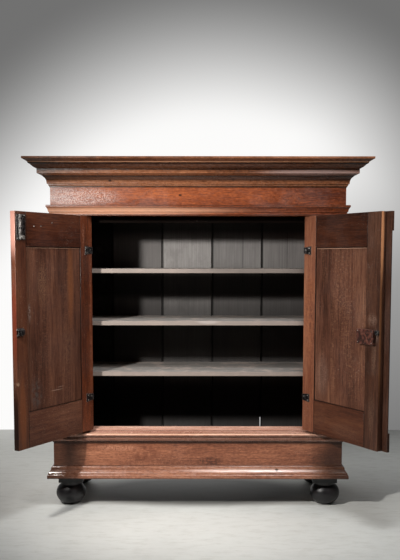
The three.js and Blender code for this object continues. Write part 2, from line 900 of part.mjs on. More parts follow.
function escutcheon() {
  const outer = outerFace - fit;
  const plate = outline([
    [0, -escutcheonHeight / 2],
    [escutcheonWidth / 2, -escutcheonHeight / 4],
    [escutcheonWidth / 2, escutcheonHeight / 4],
    [0, escutcheonHeight / 2],
    [-escutcheonWidth / 2, escutcheonHeight / 4],
    [-escutcheonWidth / 2, -escutcheonHeight / 4],
  ]);
  const standing = new THREE.ExtrudeGeometry(plate, { depth: strapThickness, bevelEnabled: false });
  standing.rotateX(Math.PI / 2).translate(keyCentre(), outer, keyLevel - keySlotHeight / 2);
  return cut(standing, keyHole(outer - strapThickness - overrun, outer + overrun));
}

function addLeftDoor() {
  addDoorFrame(leftDoor, "left", leftMeetingStileWidth, []);
  addPart(leftDoor, "door_bolt_plate", boltPlate(), iron);
  addPart(leftDoor, "door_bolt", slideBolt(), iron);
  addPart(leftDoor, "lock_keeper", lockKeeper(), iron);
  leftDoor.position.set(-pinX, pinY, 0);
  leftDoor.rotation.z = THREE.MathUtils.degToRad(-openAngle);
}

function addRightDoor() {
  const hole = keyHole(outerFace - overrun, innerFace + overrun);
  addDoorFrame(rightDoor, "right", rightMeetingStileWidth, [hole]);
  const cover = pilaster(doorBottom, doorTop).translate(pinX, outerFace - fit, 0);
  addPart(rightDoor, "right_door_pilaster", mirrored(cover), doorOak);
  addPart(rightDoor, "lock_case", mirrored(lockCase()), rustedIron);
  addPart(rightDoor, "lock_bolt", mirrored(lockBolt()), iron);
  addPart(rightDoor, "escutcheon", mirrored(escutcheon()), iron);
  rightDoor.position.set(pinX, pinY, 0);
  rightDoor.rotation.z = THREE.MathUtils.degToRad(openAngle);
}

addFeet();
addBase();
addStiles();
addSides();
addBottomAndHead();
addShelves();
addBackBoards();
addTop();
addLeftDoor();
addRightDoor();
addHinges();
kas.add(carcass, leftDoor, rightDoor);

// The origin is on the floor, under the middle of the box round the cupboard with its doors open
const middle = new THREE.Box3().setFromObject(kas, true).getCenter(new THREE.Vector3());
kas.position.set(-Math.round(middle.x), -Math.round(middle.y), 0);

export default kas;
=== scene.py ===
import math

import bmesh
import bpy
from mathutils import Matrix, Vector


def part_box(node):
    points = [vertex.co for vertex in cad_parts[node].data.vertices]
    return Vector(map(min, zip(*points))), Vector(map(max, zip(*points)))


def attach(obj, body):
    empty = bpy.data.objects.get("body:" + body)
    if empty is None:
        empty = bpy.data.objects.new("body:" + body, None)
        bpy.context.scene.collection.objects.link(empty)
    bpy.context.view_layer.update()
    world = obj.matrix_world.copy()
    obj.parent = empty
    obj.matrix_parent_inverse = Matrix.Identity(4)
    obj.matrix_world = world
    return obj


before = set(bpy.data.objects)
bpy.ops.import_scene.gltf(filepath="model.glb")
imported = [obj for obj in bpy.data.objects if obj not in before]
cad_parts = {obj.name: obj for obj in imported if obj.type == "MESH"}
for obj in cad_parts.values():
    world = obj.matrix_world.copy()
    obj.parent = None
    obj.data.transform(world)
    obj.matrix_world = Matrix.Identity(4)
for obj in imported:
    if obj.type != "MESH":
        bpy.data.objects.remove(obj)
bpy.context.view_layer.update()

# The case's middle plane, and the front planes of its threshold, its boards and its ledge
MIDDLE_X = (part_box("stile_left")[0].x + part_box("stile_right")[1].x) / 2
FRONT_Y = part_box("threshold")[0].y
BOARD_FRONT_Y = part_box("plinth_front")[0].y
LEDGE_FRONT_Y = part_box("waist_moulding_front")[0].y

# Doors: the opened angle, the hinge pins, and the inner face's distance from the pin
DOOR_ANGLE = math.radians(120)
PIN_HALF = 0.5975
PIN_Y = 0.010
INNER_FACE = 0.033

# Doors: where the stiles, rails and panels meet, across from the pin and up from the floor
HINGE_JOINT = 0.1005
MEETING_JOINT = {"left": 0.5175, "right": 0.4985}
FOOT_JOINT, HEAD_JOINT = 0.604, 1.412

# Camera
EYE_DISTANCE = 4.390
EYE_HEIGHT = 1.358
EYE_PITCH = math.radians(5)
EYE_ROLL = math.radians(0.06)
FOCAL_PIXELS = 810
PHOTO_WIDTH, PHOTO_HEIGHT = 400, 560
AXIS_PIXEL_X, AXIS_PIXEL_Y = 198.0, 328.9
SENSOR = 36.0

# Stage: the wall glows by its own emission in an ellipse, and a painted shadow lies on its lower right
WALL_Y = 1.96
WALL_TINT = (1, 0.995, 0.985, 1)
GLOW_X, GLOW_Z = 0.144, 0.262
GLOW_REACH_X, GLOW_REACH_Z = 2.884, 3.309
GLOW_CORE = 0.347
GLOW_LOW, GLOW_HIGH = 0.165, 1.669
GLOW_LIMIT, GLOW_BLEND = 0.975, 0.2
SHADE_START, SHADE_WIDTH = -1.611, 2.08
SHADE_SIDE = 0.8
SHADE_FOOT, SHADE_LOSS = 0.80, 0.124
FLOOR_REACH = 14.0
FLOOR_COLOUR, FLOOR_CLOUD = "dbdcd8", 0.9
FLOOR_MARKS, FLOOR_MARKS_SHARE = "a19f92", 0.3
FLOOR_ROUGHNESS = 0.6
# Floor: painted shadow under the cupboard, its colour, share, blur, place and reach
FLOOR_SHADOW, FLOOR_SHADOW_SHARE, FLOOR_SHADOW_BLUR = "2e2c2a", 0.72, 0.4
FLOOR_SHADOW_PLACE = (MIDDLE_X, 0.27, 0.0)
FLOOR_SHADOW_REACH = (0.80, 0.36, 1.0)

# Light
KEY_PLACE = (-1.23, -1.5, 1.86)
KEY_TARGET = (0.1, 0.0, 0.7)
KEY_RADIUS = 0.07
KEY_CONE = math.radians(80)
KEY_POWER = 245
TOP_PLACE = (0.55, -1.35, 3.0)
TOP_TARGET = (0.1, -0.3, 0.2)
TOP_WIDTH, TOP_DEPTH = 0.8, 0.3
TOP_POWER = 38
FILL_PLACE = (1.5, -1.9, 3.0)
FILL_TARGET = (-0.3, -0.1, 0.8)
FILL_RADIUS = 0.45
FILL_CONE = math.radians(52)
FILL_POWER = 135
SIDE_PLACE = (-2.6, 1.2, 2.4)
SIDE_TARGET = (-1.6, 1.1, 0.0)
SIDE_RADIUS = 0.45
SIDE_CONE = math.radians(70)
SIDE_POWER = 72
TOP_COLOUR = (0.96, 0.98, 1)
LIGHT_COLOUR = (1, 0.97, 0.93)
WORLD_COLOUR = (0.8, 0.82, 0.85, 1)
WORLD_STRENGTH = 0.006

# Softened edges: widths by the kind of piece, and the angles at which edges are softened or stay sharp
WOOD_BEVEL, FINE_BEVEL, ROUND_BEVEL = 0.0015, 0.001, 0.002
HINGE_BEVEL, PLATE_BEVEL = 0.0004, 0.0005
BEVEL_SEGMENTS = 2
BEVEL_ANGLE = math.radians(40)
SMOOTH_ANGLE = math.radians(32)
WELD_DISTANCE = 0.00002

ALONG_X, ALONG_Y, ALONG_Z = 0, 1, 2
SIDES = ("left", "right")

# Samples of the edge and crevice nodes, and the readings between which they and broken marks fade
EDGE_SAMPLES, CREVICE_SAMPLES = 4, 6
EDGE_FADE = (0.995, 0.8)
CREVICE_FADE = (0.72, 0.3)
MARK_FADE = (0.42, 0.6)


def linear(code):
    """A colour written as six hex digits, in linear light."""
    shares = [int(code[i : i + 2], 16) / 255 for i in (0, 2, 4)]
    return [c / 12.92 if c <= 0.04045 else ((c + 0.055) / 1.055) ** 2.4 for c in shares] + [1.0]


class Shader:
    """A material's node tree, with a short call for each kind of node."""

    def __init__(self, name, turn=0.0):
        self.material = bpy.data.materials.new(name)
        self.material.use_nodes = True
        self.tree = self.material.node_tree
        self.surface = self.tree.nodes["Principled BSDF"]
        self.coordinates = self.node("ShaderNodeTexCoord").outputs["Object"]
        if turn:
            self.coordinates = self.node(
                "ShaderNodeVectorRotate",
                {"Vector": self.coordinates, "Angle": -turn},
                rotation_type="Z_AXIS",
            ).outputs[0]

    def node(self, kind, inputs=None, **settings):
        made = self.tree.nodes.new(kind)
        for key, value in settings.items():
            setattr(made, key, value)
        for key, value in (inputs or {}).items():
            self.feed(made.inputs[key], value)
        return made

    def feed(self, socket, value):
        if isinstance(value, bpy.types.NodeSocket):
            self.tree.links.new(value, socket)
        else:
            socket.default_value = value

    def math(self, operation, first, second=0.0, third=0.0):
        inputs = {0: first, 1: second, 2: third}
        return self.node("ShaderNodeMath", inputs, operation=operation).outputs[0]

    def times(self, first, second):
        return self.math("MULTIPLY", first, second)

    def plus(self, first, second):
        return self.math("ADD", first, second)

    def minus(self, first, second):
        return self.math("SUBTRACT", first, second)

    def axes(self):
        """The shader's coordinates, one output for each axis."""
        return self.node("ShaderNodeSeparateXYZ", {"Vector": self.coordinates}).outputs

    def place(self, scale=(1, 1, 1), offset=(0, 0, 0)):
        """The shader's coordinates, scaled and then moved."""
        inputs = {"Vector": self.coordinates, "Location": offset, "Scale": scale}
        return self.node("ShaderNodeMapping", inputs).outputs[0]

    def grain(self, along, offset, layer):
        """Noise that runs along one axis, from a row of one of the tables of layers."""
        across, lengthwise, detail, roughness, distortion = layer
        scale = [across] * 3
        scale[along] = lengthwise
        return self.noise(self.place(scale, offset), detail, roughness, distortion)

    def noise(self, vector, detail=3.0, roughness=0.5, distortion=0.0):
        inputs = {
            "Vector": vector,
            "Scale": 1.0,
            "Detail": detail,
            "Roughness": roughness,
            "Distortion": distortion,
        }
        return self.node("ShaderNodeTexNoise", inputs).outputs["Fac"]

    def span(self, value, low, high, to_low=0.0, to_high=1.0):
        """A value faded smoothly from one range to another."""
        inputs = {"Value": value, "From Min": low, "From Max": high, "To Min": to_low, "To Max": to_high}
        return self.node("ShaderNodeMapRange", inputs, interpolation_type="SMOOTHSTEP").outputs["Result"]

    def mix(self, share, first, second):
        made = self.node("ShaderNodeMix", {"Factor": share}, data_type="RGBA")
        self.feed(made.inputs[6], first)
        self.feed(made.inputs[7], second)
        return made.outputs[2]

    def tint(self, colour, mask, share, other):
        """A colour that takes on a share of another one where the mask is one."""
        return self.mix(self.times(mask, share), colour, other)

    def patch(self, at, reach, blur=0.6):
        """One in the middle of a soft egg shape, and zero outside it."""
        scale = [1 / r for r in reach]
        offset = [-a * s for a, s in zip(at, scale)]
        away = self.node("ShaderNodeVectorMath", {0: self.place(scale, offset)}, operation="LENGTH")
        return self.span(away.outputs["Value"], 1.0, 1.0 - blur)

    def edge(self, radius):
        """One near a sharp edge and zero on flat wood."""
        bevel = self.node("ShaderNodeBevel", {"Radius": radius}, samples=EDGE_SAMPLES).outputs[0]
        normal = self.node("ShaderNodeNewGeometry").outputs["Normal"]
        dot = self.node("ShaderNodeVectorMath", {0: bevel, 1: normal}, operation="DOT_PRODUCT")
        return self.span(dot.outputs["Value"], *EDGE_FADE)

    def crevice(self, reach):
        """One deep in corners and joints, and zero on open wood."""
        inputs = {"Distance": reach}
        open_sky = self.node("ShaderNodeAmbientOcclusion", inputs, samples=CREVICE_SAMPLES)
        return self.span(open_sky.outputs["AO"], *CREVICE_FADE)

    def bump(self, height, strength, distance):
        inputs = {"Height": height, "Strength": strength, "Distance": distance}
        self.feed(self.surface.inputs["Normal"], self.node("ShaderNodeBump", inputs).outputs[0])


def seed_offset(seed):
    return (3.1 * seed, 1.7 * seed, 2.3 * seed)


def add_marks(s, colour, marks, seed):
    """Stains, knots, scuffs, and painted glare, highlights and shadows: each row is a place, its reach,
    a colour, a share and a fineness.
    """
    for at, reach, code, share, fineness in marks:
        mask = s.patch(at, reach)
        if fineness:
            broken = s.noise(s.place([fineness] * 3, seed_offset(seed)), detail=3, roughness=0.6)
            mask = s.times(mask, s.span(broken, *MARK_FADE))
        colour = s.tint(colour, mask, share, linear(code))
    return colour


# Polished oak's layers: waves a metre across and along the grain, detail, roughness and distortion
OAK_LAYERS = {
    "broad": (6, 0.8, 3, 0.5, 0.0),
    "rings": (70, 3.5, 4, 0.6, 0.3),
    "mottle": (150, 60, 3, 0.6, 0.0),
    "fine": (420, 16, 2, 0.6, 0.0),
    "pores": (700, 24, 1, 0.5, 0.0),
    "rays": (62, 190, 2, 0.5, 1.2),
    "ray_fields": (14, 2.4, 2, 0.5, 0.0),
    "wear": (5, 5, 5, 0.65, 0.0),
    "breaks": (30, 30, 3, 0.5, 0.0),
    "specks": (210, 210, 1, 0.5, 0.0),
    "speck_fields": (4, 4, 2, 0.5, 0.0),
    "waves": (14, 2.6, 2, 0.5, 0.0),
}
# The readings between which those layers fade in
OAK_FADES = {
    "middle": (0.36, 0.54),
    "light": (0.48, 0.66),
    "pores": (0.58, 0.68),
    "rays": (0.53, 0.63),
    "ray_fields": (0.46, 0.62),
    "wear": (0.45, 0.65),
    "breaks": (0.4, 0.62),
    "specks": (0.68, 0.76),
    "speck_fields": (0.48, 0.6),
}
# How much each layer counts in the tone; rings and mottle share theirs
BROAD_SHARE, FINE_SHARE, RINGS_AND_MOTTLE_SHARE = 0.4, 0.25, 0.35
PORE_SHARE, PORE_MATT = 0.5, 0.1
# Rubbed edges: real wear, lightened along every arris, which also stands for painted highlights
RUBBED_REACH, RUBBED_LEAST = 0.004, 0.4
# Painted shade in corners and joints: its reach and share; below, the colour of dried wax specks and the
# near black of that shade
CREVICE_REACH, CREVICE_SHARE = 0.02, 0.85
WAX, CREVICE_SHADE = "b9aca2", "120806"
# The relief's shares of waves, rays and pores, and its strength and depth
OAK_RELIEF = {"waves": 0.8, "rays": 0.12, "pores": -0.25}
OAK_RELIEF_STRENGTH, OAK_RELIEF_DEPTH = 0.35, 0.0012


def oak(
    name,
    palette,
    along,
    turn=0.0,
    seed=0.0,
    fleck=0.3,
    wear=0.5,
    rough=(0.35, 0.55),
    dust=0.2,
    stripes=0.25,
    gloss=0.3,
    marks=(),
):
    """Polished oak: broad tone, rings, pores, ray fleck, rubbed edges that also stand for painted
    highlights, specks of dried wax, and painted shade in crevices.
    """
    s = Shader(name, turn)
    dark, middle, light = (linear(code) for code in palette)
    offset = seed_offset(seed)

    def layer(kind):
        return s.grain(along, offset, OAK_LAYERS[kind])

    def faded(kind):
        return s.span(layer(kind), *OAK_FADES[kind])

    tone = s.plus(s.times(layer("rings"), stripes), s.times(layer("fine"), FINE_SHARE))
    tone = s.plus(s.times(layer("broad"), BROAD_SHARE), tone)
    tone = s.plus(tone, s.times(layer("mottle"), RINGS_AND_MOTTLE_SHARE - stripes))
    colour = s.mix(s.span(tone, *OAK_FADES["middle"]), dark, middle)
    colour = s.mix(s.span(tone, *OAK_FADES["light"]), colour, light)
    pores = faded("pores")
    colour = s.tint(colour, pores, PORE_SHARE, dark)
    rays = s.times(faded("rays"), faded("ray_fields"))
    colour = s.tint(colour, rays, fleck, light)
    # Rubbed edges, lighter along the arrises: wear, and painted highlights with it
    breaks = s.plus(s.times(faded("breaks"), 1 - RUBBED_LEAST), RUBBED_LEAST)
    rubbed = s.times(s.edge(RUBBED_REACH), breaks)
    colour = s.tint(colour, rubbed, wear, light)
    specks = s.times(faded("specks"), faded("speck_fields"))
    colour = s.tint(colour, specks, dust, linear(WAX))
    colour = add_marks(s, colour, marks, seed)
    # Painted shade: corners and joints darkened towards near black
    colour = s.tint(colour, s.crevice(CREVICE_REACH), CREVICE_SHARE, linear(CREVICE_SHADE))
    s.feed(s.surface.inputs["Base Color"], colour)
    low, high = rough
    matt = s.plus(s.times(faded("wear"), high - low), s.plus(s.times(pores, PORE_MATT), low))
    s.feed(s.surface.inputs["Roughness"], matt)
    s.surface.inputs["Specular IOR Level"].default_value = gloss
    relief = s.plus(s.times(rays, OAK_RELIEF["rays"]), s.times(pores, OAK_RELIEF["pores"]))
    relief = s.plus(s.times(layer("waves"), OAK_RELIEF["waves"]), relief)
    s.bump(relief, OAK_RELIEF_STRENGTH, OAK_RELIEF_DEPTH)
    return s.material


# Dry oak's layers, as above, and the waves a metre of its stains and smudges
GREY_LAYERS = {"broad": (5, 0.8, 3, 0.5, 0.0), "grain": (160, 3, 4, 0.65, 0.3)}
STAIN_WAVES, SMUDGE_WAVES = (4, 4, 6), (11, 11, 7)
STAIN_FADE, STAIN_SHARE = (0.52, 0.7), 0.3
SMUDGE_FADE, SMUDGE_SHARE = (0.46, 0.66), 0.4
EDGE_LIGHT = "c9b3a6"
GREY_EDGE_REACH, GREY_EDGE_SHARE = 0.003, 0.4
FRONT_SKIN, FRONT_SHARE = (0.005, 0.001), 0.8
GREY_GLOSS = 0.25
# Back boards: the depth of the inner skin that takes painted shade, the heights over which painted shade
# darkens it downwards, and the painted shadow of the head rail above
INNER_SKIN = (0.017, 0.012)
BACK_LOW_SHADE, BACK_LOW_SHADE_FADE, BACK_LOW_SHADE_SHARE = "151312", (1.38, 1.0), 0.8
HEAD_RAIL_SHADOW, HEAD_RAIL_SHADOW_FADE, HEAD_RAIL_SHADOW_SHARE = "0b0908", (1.44, 1.53), 0.85
BACK_OUTSIDE, BACK_OUTSIDE_SHARE = "6b635c", 0.6


def add_painted_back_shade(s, colour, plane):
    """Painted shade on a back board's inner face, darker downwards and in the head rail's shadow at the
    top, and plain grey wood behind it.
    """
    axes = s.axes()
    inside = s.span(axes["Y"], *(plane + skin for skin in INNER_SKIN))
    colour = s.tint(colour, s.minus(1.0, inside), BACK_OUTSIDE_SHARE, linear(BACK_OUTSIDE))
    # Painted shade: the inner face darker from 1.38 m down to 1.0 m and below
    low_shade = s.span(axes["Z"], *BACK_LOW_SHADE_FADE, 0.0, BACK_LOW_SHADE_SHARE)
    colour = s.tint(colour, low_shade, inside, linear(BACK_LOW_SHADE))
    # Painted shadow of the head rail: darker above 1.44 m
    head_rail_shadow = s.span(axes["Z"], *HEAD_RAIL_SHADOW_FADE, 0.0, HEAD_RAIL_SHADOW_SHARE)
    return s.tint(colour, head_rail_shadow, inside, linear(HEAD_RAIL_SHADOW))


def grey_oak(
    name,
    palette,
    along,
    seed=0.0,
    rough=0.75,
    edge_light=EDGE_LIGHT,
    front=None,
    painted_shade_plane=None,
    marks=(),
):
    """Dry unpolished oak, greyed, with open grain and cleaner front edges."""
    s = Shader(name)
    dark, light = (linear(code) for code in palette)
    offset = seed_offset(seed)
    grain = s.grain(along, offset, GREY_LAYERS["grain"])
    broad = s.grain(along, offset, GREY_LAYERS["broad"])
    tone = s.plus(s.times(broad, 0.5), s.times(grain, 0.5))
    colour = s.mix(s.span(tone, 0.3, 0.7), dark, light)
    stains = s.span(s.noise(s.place(STAIN_WAVES, offset), detail=4), *STAIN_FADE)
    colour = s.tint(colour, stains, STAIN_SHARE, dark)
    smudges = s.noise(s.place(SMUDGE_WAVES, offset), detail=5, roughness=0.65)
    colour = s.tint(colour, s.span(smudges, *SMUDGE_FADE), SMUDGE_SHARE, linear(edge_light))
    colour = s.tint(colour, s.edge(GREY_EDGE_REACH), GREY_EDGE_SHARE, linear(edge_light))
    # Back boards: painted shade on their inner faces
    if painted_shade_plane is not None:
        colour = add_painted_back_shade(s, colour, painted_shade_plane)
    if front:
        plane, code = front
        skin = s.span(s.axes()["Y"], *(plane + depth for depth in FRONT_SKIN))
        colour = s.tint(colour, skin, FRONT_SHARE, linear(code))
    colour = add_marks(s, colour, marks, seed)
    s.feed(s.surface.inputs["Base Color"], colour)
    s.surface.inputs["Roughness"].default_value = rough
    s.surface.inputs["Specular IOR Level"].default_value = GREY_GLOSS
    s.bump(grain, 0.4, 0.001)
    return s.material


# Ebonised wood: its two blacks, its rubbed brown, and the height from which a foot is blacker, as
# painted shade under the base moulding
EBONY = ("110f12", "282426")
EBONY_RUBBED = "4a3328"
FOOT_NECK, FOOT_NECK_FADE = 0.125, 0.004
FOOT_NECK_SHADE = "050405"


def black_paint(name):
    """Ebonised wood: black with a soft sheen, dulled and brown where rubbed."""
    s = Shader(name)
    wide = s.noise(s.place((11, 11, 11)), detail=4)
    colour = s.mix(s.span(wide, 0.4, 0.7), *(linear(code) for code in EBONY))
    colour = s.tint(colour, s.edge(RUBBED_REACH), 0.5, linear(EBONY_RUBBED))
    # Painted shade: blacker above the neck, under the base moulding
    neck_shade = s.span(s.axes()["Z"], FOOT_NECK - FOOT_NECK_FADE, FOOT_NECK, 0.0, 0.85)
    colour = s.mix(neck_shade, colour, linear(FOOT_NECK_SHADE))
    s.feed(s.surface.inputs["Base Color"], colour)
    s.feed(s.surface.inputs["Roughness"], s.span(wide, 0.3, 0.75, 0.36, 0.52))
    s.bump(s.noise(s.place((30, 30, 70)), detail=3), 0.3, 0.001)
    return s.material


# Hammered iron: the waves a metre of its wide and small dents, and its rubbed edges
IRON_WIDE_WAVES, IRON_SMALL_WAVES = (70, 70, 70), (330, 330, 330)
IRON_EDGE_REACH, IRON_EDGE_SHARE = 0.002, 0.7


def forged_iron(name, palette, metal=0.85):
    """Hammered iron with rust in its hollows and rubbed bright spots."""
    s = Shader(name)
    dark, light, bright = (linear(code) for code in palette)
    wide = s.noise(s.place(IRON_WIDE_WAVES), detail=4, roughness=0.6)
    small = s.noise(s.place(IRON_SMALL_WAVES), detail=3, roughness=0.6)
    colour = s.mix(s.span(wide, 0.38, 0.64), dark, light)
    shine = s.times(s.span(small, 0.58, 0.7), s.span(wide, 0.5, 0.62))
    shine = s.math("MAXIMUM", shine, s.times(s.edge(IRON_EDGE_REACH), IRON_EDGE_SHARE))
    colour = s.mix(shine, colour, bright)
    s.feed(s.surface.inputs["Base Color"], colour)
    s.surface.inputs["Metallic"].default_value = metal
    s.feed(s.surface.inputs["Roughness"], s.span(small, 0.3, 0.7, 0.35, 0.65))
    s.bump(s.plus(wide, s.times(small, 0.3)), 0.6, 0.0012)
    return s.material


def smoothing_group(angle):
    """Joins split corners and shades smooth wherever two faces meet at less than the angle."""
    tree = bpy.data.node_groups.new("SmoothForms", "GeometryNodeTree")
    tree.interface.new_socket("Geometry", in_out="INPUT", socket_type="NodeSocketGeometry")
    tree.interface.new_socket("Geometry", in_out="OUTPUT", socket_type="NodeSocketGeometry")
    start = tree.nodes.new("NodeGroupInput")
    end = tree.nodes.new("NodeGroupOutput")
    plain = tree.nodes.new("GeometryNodeRemoveAttribute")
    plain.inputs["Name"].default_value = "custom_normal"
    weld = tree.nodes.new("GeometryNodeMergeByDistance")
    weld.inputs["Distance"].default_value = WELD_DISTANCE
    faces = tree.nodes.new("GeometryNodeSetShadeSmooth")
    faces.domain = "FACE"
    faces.inputs["Shade Smooth"].default_value = True
    edges = tree.nodes.new("GeometryNodeSetShadeSmooth")
    edges.domain = "EDGE"
    edges.inputs["Shade Smooth"].default_value = False
    corner = tree.nodes.new("GeometryNodeInputMeshEdgeAngle")
    sharp = tree.nodes.new("FunctionNodeCompare")
    sharp.operation = "GREATER_THAN"
    sharp.inputs["B"].default_value = angle
    tree.links.new(start.outputs[0], plain.inputs[0])
    tree.links.new(plain.outputs[0], weld.inputs["Geometry"])
    tree.links.new(weld.outputs["Geometry"], faces.inputs[0])
    tree.links.new(faces.outputs[0], edges.inputs[0])
    tree.links.new(corner.outputs["Unsigned Angle"], sharp.inputs["A"])
    tree.links.new(sharp.outputs[0], edges.inputs["Selection"])
    tree.links.new(edges.outputs[0], end.inputs[0])
    return tree


SMOOTH = smoothing_group(SMOOTH_ANGLE)


def finish_node(name, material, bevel=WOOD_BEVEL):
    """Gives a CAD node its material, softened edges and smooth round forms."""
    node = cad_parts[name]
    node.data.materials.clear()
    node.data.materials.append(material)
    smooth = node.modifiers.new("SmoothForms", "NODES")
    smooth.node_group = SMOOTH
    soft = node.modifiers.new("SoftEdges", "BEVEL")
    soft.width = bevel
    soft.segments = BEVEL_SEGMENTS
    soft.limit_method = "ANGLE"
    soft.angle_limit = BEVEL_ANGLE
    soft.use_clamp_overlap = True
    soft.harden_normals = False


# Case

CASE_PALETTE = ("432014", "7c4a34", "a66c50")
RUN_PALETTES = {
    "frieze": ("431908", "814123", "ad6034"),
    "cornice": ("462412", "8c583b", "b8815e"),
    "plinth": ("4d291d", "905940", "bd8162"),
    "base_moulding": ("4a2a20", "8b5b46", "b7846b"),
    "waist_moulding": ("875645", "ba8b77", "e2bcaa"),
}
RUN_ROUGHNESS = {"base_moulding": (0.2, 0.3), "waist_moulding": (0.24, 0.4), "cornice": (0.24, 0.36)}
BOARD_ROUGHNESS = (0.3, 0.5)
RUN_LOOKS = {"fleck": 0.2, "wear": 0.7, "stripes": 0.12, "gloss": 0.5}
# The head rail near black: painted shade, for it lies in the shadow under the neck moulding
HEAD_RAIL_PALETTE = ("060404", "0c0705", "150c08")
KNOT = "1d0d08"

# Reaches of marks: on the skin of a board, through a whole thickness, and along a whole length
SKIN, THROUGH, WHOLE = 0.04, 1.0, 6.0


def front_mark(x, z, reach, code, share, fineness=0, depth=SKIN):
    """A mark on the case's front boards, at a place seen from the front."""
    return ((x, BOARD_FRONT_Y, z), (reach[0], depth, reach[1]), code, share, fineness)


def line_mark(z, reach, code, share, plane=BOARD_FRONT_Y, depth=THROUGH):
    """A level line across the whole cupboard, on a plane that faces the front."""
    return ((MIDDLE_X, plane, z), (WHOLE, depth, reach), code, share, 0)


# Knots, wood figure and scuffs, with painted glare, highlights, shadow lines and door shadows, on the
# boards that run round the case
RUN_MARKS = {
    "frieze": [
        front_mark(-0.103, 1.690, (0.012, 0.008), KNOT, 0.85),
        # painted glare at the left end
        front_mark(-0.75, 1.690, (0.16, 0.06), "b9b2b4", 0.15, 150),
        # painted highlight along the neck moulding
        front_mark(-0.50, 1.610, (0.95, 0.03), "dba888", 0.5),
        # pale specks at the left end: dust, and painted glare with it
        front_mark(-0.62, 1.680, (0.26, 0.06), "e3cfc6", 0.38, 190),
        # painted shadow lines along the neck moulding's top and foot
        line_mark(1.634, 0.0025, "2a150d", 0.7),
        line_mark(1.586, 0.003, "1c0e09", 0.8),
    ],
    "cornice": [
        front_mark(-0.473, 1.764, (0.014, 0.010), KNOT, 0.9),
        front_mark(0.177, 1.769, (0.014, 0.010), KNOT, 0.9),
        front_mark(0.674, 1.774, (0.014, 0.010), KNOT, 0.9),
        line_mark(1.836, 0.022, "30150c", 0.35),
        # painted highlight on the top arris
        line_mark(1.853, 0.003, "d9a07a", 0.8),
        # painted glare on the right
        front_mark(0.60, 1.803, (0.38, 0.022), "b9a09a", 0.5, depth=0.30),
        # painted shadow lines under the members, with painted shade in the cove's upper part
        line_mark(1.846, 0.005, "140a07", 0.85),
        line_mark(1.819, 0.005, "1c0e09", 0.85),
        line_mark(1.786, 0.0045, "100705", 0.95),
        line_mark(1.775, 0.014, "2f160d", 0.7),
        line_mark(1.733, 0.004, "140a07", 0.85),
    ],
    "plinth": [
        front_mark(0.057, 0.250, (0.085, 0.035), "3a1a10", 0.75, 45),
        front_mark(-0.30, 0.300, (0.10, 0.06), "5a2c1d", 0.5, 35),
        front_mark(-0.45, 0.330, (0.16, 0.02), "dfa488", 0.35, 120),
        # painted shadow of the ledge along the top
        line_mark(0.356, 0.008, "2a120b", 0.6),
        # painted shadows of the doors over both ends
        front_mark(0.80, 0.20, (0.24, 0.4), "220f09", 0.75),
        front_mark(-0.80, 0.26, (0.22, 0.4), "220f09", 0.75),
    ],
    "base_moulding": [
        # painted glare along the round
        front_mark(0.30, 0.209, (0.46, 0.013), "f2d3c6", 0.45, depth=THROUGH),
        front_mark(0.42, 0.212, (0.012, 0.010), KNOT, 0.8, depth=THROUGH),
        # painted shadows of the doors over both ends, and painted shadow lines along the top and the
        # foot
        front_mark(0.90, 0.19, (0.36, 0.4), "1c0d08", 0.75, depth=THROUGH),
        front_mark(-0.90, 0.19, (0.26, 0.4), "1c0d08", 0.7, depth=THROUGH),
        line_mark(0.231, 0.003, "1c0e09", 0.7),
        line_mark(0.1665, 0.0025, "100705", 0.8),
    ],
    "waist_moulding": [
        # painted shade under the nose, painted highlight on the arris, and a painted shadow line below
        line_mark(0.384, 0.022, "4a2819", 0.75, LEDGE_FRONT_Y, 0.02),
        line_mark(0.411, 0.006, "f3c6a6", 0.85, LEDGE_FRONT_Y, 0.008),
        line_mark(0.3645, 0.004, "100705", 0.9),
    ],
}


def finish_case():
    for i, (run, marks) in enumerate(RUN_MARKS.items()):
        palette = RUN_PALETTES[run]
        looks = dict(RUN_LOOKS, rough=RUN_ROUGHNESS.get(run, BOARD_ROUGHNESS))
        along_front = oak(f"Oak_{run}", palette, ALONG_X, seed=1 + i, dust=0.3, marks=marks, **looks)
        finish_node(f"{run}_front", along_front)
        along_side = oak(f"OakSide_{run}", palette, ALONG_Y, seed=31 + i, **looks)
        for side in SIDES:
            finish_node(f"{run}_{side}", along_side)
    threshold = oak("Oak_threshold", RUN_PALETTES["waist_moulding"], ALONG_X, seed=14, wear=0.8)
    finish_node("threshold", threshold)
    # The head rail: near black and matt, as painted shade
    dull = {"wear": 0.0, "rough": (0.8, 0.9), "gloss": 0.05}
    finish_node("head_rail", oak("Oak_head_rail", HEAD_RAIL_PALETTE, ALONG_X, seed=15, **dull))
    upright = oak("OakUpright", CASE_PALETTE, ALONG_Z, seed=3, fleck=0.4, wear=0.5)
    for side in SIDES:
        finish_node(f"stile_{side}", upright)
        finish_node(f"side_{side}", upright)


# Inside

SHELF_PALETTE, SHELF_FRONT = ("635f5b", "94908c"), "8c7f77"
BOTTOM_PALETTE = ("3a3735", "5d5956")
TOP_PALETTE = ("3a332e", "6a6059")
# The back boards' darks and lights, from the left; the first is near black, painted shade for a board
# that lies in shadow
BACK_PALETTES = [
    ("2c2a29", "3c3a39"),
    ("6d6a69", "868280"),
    ("8f8c8a", "b4b0ae"),
    ("7c7978", "9b9896"),
    ("6c6968", "8c8987"),
]
BACK_ROUGHNESS, BACK_EDGE_LIGHT = 0.85, "7c7876"
# Their joints and two fine cracks: reach, colour and share, and the cracks' places across
BACK_JOINT = ((0.012, 0.05, 2.0), "0a0908", 0.9)
BACK_CRACK = ((0.003, 0.05, 0.3), "2a2827", 0.7)
BACK_CRACKS = (0.262, 0.528)
